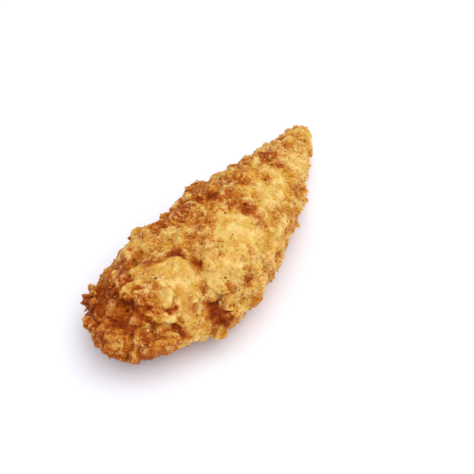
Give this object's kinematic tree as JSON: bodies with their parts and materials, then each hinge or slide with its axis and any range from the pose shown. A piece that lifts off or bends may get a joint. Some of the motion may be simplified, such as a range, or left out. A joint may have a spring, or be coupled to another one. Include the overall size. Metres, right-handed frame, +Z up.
{
  "type": "breaded chicken tender",
  "caption": "Crispy breaded chicken tender: a long fillet with a thick rounded end, a thin tip, smooth pillows, creases and a crumbly fried crust; lies on a flat underside.",
  "frame": {"origin": "middle of the tender's footprint, on the surface it lies on", "axes": "+X from the thick end to the thin tip, +Z up from the flat underside, +Y to the left when looking from the thick end to the tip"},
  "size_m": [0.1212, 0.0472, 0.028],
  "materials": {
    "golden_crust": "dry fried crumb crust, pale gold on the pillows and orange brown in the creases"
  },
  "bodies": {
    "root": {"tender": "golden_crust"}
  },
  "joints": []
}
